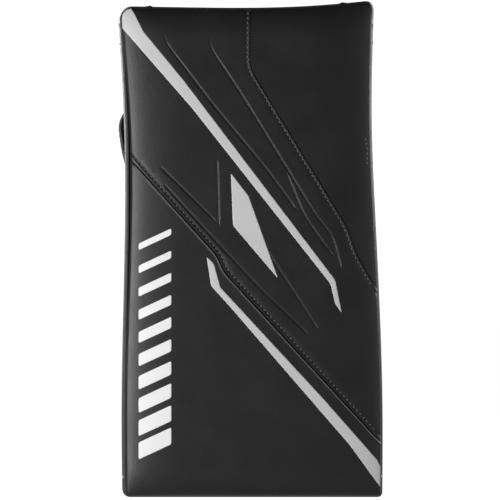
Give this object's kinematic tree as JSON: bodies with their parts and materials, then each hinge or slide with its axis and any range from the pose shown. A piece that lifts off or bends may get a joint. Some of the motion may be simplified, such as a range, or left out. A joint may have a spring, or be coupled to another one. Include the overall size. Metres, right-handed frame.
{
  "type": "goalie blocker",
  "caption": "Right-hand ice goalie blocker: a padded board with a hinged-finger glove, guards, wrist cuff, flap and strap on its back.",
  "frame": {"origin": "middle of the cuff's mouth, where the hand goes in", "axes": "+Z along the board towards the fingers, -Y out of the board's face, +X towards the little finger"},
  "size_m": [0.2067, 0.1532, 0.3861],
  "materials": {
    "foam": "matte",
    "stiffener": "satin",
    "liner": "matte",
    "piping": "satin",
    "face_leather": "satin",
    "silver_leather": "satin",
    "white_leather": "satin",
    "glove_fabric": "matte",
    "palm_leather": "matte",
    "palm_patch_leather": "matte",
    "guard_leather": "satin",
    "rivet_metal": "satin",
    "loop_fabric": "matte",
    "webbing": "matte",
    "hook_plastic": "matte",
    "tab_rubber": "matte"
  },
  "bodies": {
    "board": {"foam_core": "foam", "stiffener_sheet": "stiffener", "back_liner": "liner", "edge_piping": "piping", "face_panel_upper": "face_leather", "face_panel_center": "face_leather", "face_panel_lower": "face_leather", "gusset_top": "face_leather", "gusset_bottom": "face_leather", "gusset_left": "face_leather", "gusset_right": "face_leather", "corner_wrap_left": "face_leather", "corner_wrap_right": "face_leather", "stripe_upper": "silver_leather", "stripe_lower": "silver_leather", "center_dart": "silver_leather", "speed_bars": "white_leather", "backhand_pad": "glove_fabric", "knuckle_roll": "glove_fabric", "palm_shell": "palm_leather", "palm_patch": "palm_patch_leather", "index_guard_shell": "guard_leather", "index_guard_foam": "glove_fabric", "guard_rivets": "rivet_metal", "cuff_back_pad": "glove_fabric", "cuff_wing_left": "guard_leather", "cuff_wing_right": "guard_leather", "loop_patch": "loop_fabric"},
    "thumb": {"thumb_stall": "palm_leather", "thumb_guard_foam": "glove_fabric", "thumb_guard_shell": "guard_leather"},
    "cuff_flap": {"cuff_flap": "guard_leather", "cuff_flap_pad": "glove_fabric", "strap_base": "webbing"},
    "strap_tail": {"strap_tail": "webbing", "hook_patch": "hook_plastic", "pull_tab": "tab_rubber"},
    "index_base": {"index_finger_base": "palm_leather"},
    "index_tip": {"index_finger_tip": "palm_leather"},
    "middle_base": {"middle_finger_base": "palm_leather"},
    "middle_tip": {"middle_finger_tip": "palm_leather"},
    "ring_base": {"ring_finger_base": "palm_leather"},
    "ring_tip": {"ring_finger_tip": "palm_leather"},
    "little_base": {"little_finger_base": "palm_leather"},
    "little_tip": {"little_finger_tip": "palm_leather"}
  },
  "joints": [
    {"name": "index_knuckle", "type": "hinge", "parent": "board", "child": "index_base", "pos_m": [-0.036, 0.004, 0.23], "axis": [-1, 0, 0], "range_deg": [-20, 40]},
    {"name": "index_middle_joint", "type": "hinge", "parent": "index_base", "child": "index_tip", "pos_m": [-0.036, 0.026, 0.2681], "axis": [-1, 0, 0], "range_deg": [-15, 30]},
    {"name": "middle_knuckle", "type": "hinge", "parent": "board", "child": "middle_base", "pos_m": [-0.012, 0.004, 0.23], "axis": [-1, 0, 0], "range_deg": [-20, 40]},
    {"name": "middle_middle_joint", "type": "hinge", "parent": "middle_base", "child": "middle_tip", "pos_m": [-0.012, 0.028, 0.27157], "axis": [-1, 0, 0], "range_deg": [-15, 30]},
    {"name": "ring_knuckle", "type": "hinge", "parent": "board", "child": "ring_base", "pos_m": [0.012, 0.004, 0.23], "axis": [-1, 0, 0], "range_deg": [-20, 40]},
    {"name": "ring_middle_joint", "type": "hinge", "parent": "ring_base", "child": "ring_tip", "pos_m": [0.012, 0.0265, 0.26897], "axis": [-1, 0, 0], "range_deg": [-15, 30]},
    {"name": "little_knuckle", "type": "hinge", "parent": "board", "child": "little_base", "pos_m": [0.036, 0.004, 0.23], "axis": [-1, 0, 0], "range_deg": [-20, 40]},
    {"name": "little_middle_joint", "type": "hinge", "parent": "little_base", "child": "little_tip", "pos_m": [0.036, 0.023, 0.26291], "axis": [-1, 0, 0], "range_deg": [-15, 30]},
    {"name": "thumb_swing", "type": "hinge", "parent": "board", "child": "thumb", "pos_m": [-0.0645, 0.008, 0.156], "axis": [-1, 0, 0], "range_deg": [-5, 35]},
    {"name": "cuff_flap_open", "type": "hinge", "parent": "board", "child": "cuff_flap", "pos_m": [0.051, 0.0275, 0.065], "axis": [0, 0, -1], "range_deg": [0, 110]},
    {"name": "strap_peel", "type": "hinge", "parent": "cuff_flap", "child": "strap_tail", "pos_m": [-0.0305, 0.034, 0.067], "axis": [0, 0, -1], "range_deg": [0, 120]}
  ],
  "couplings": [
    {"joint": "index_middle_joint", "follows": "index_knuckle", "ratio": 0.75},
    {"joint": "middle_middle_joint", "follows": "middle_knuckle", "ratio": 0.75},
    {"joint": "ring_middle_joint", "follows": "ring_knuckle", "ratio": 0.75},
    {"joint": "little_middle_joint", "follows": "little_knuckle", "ratio": 0.75}
  ]
}
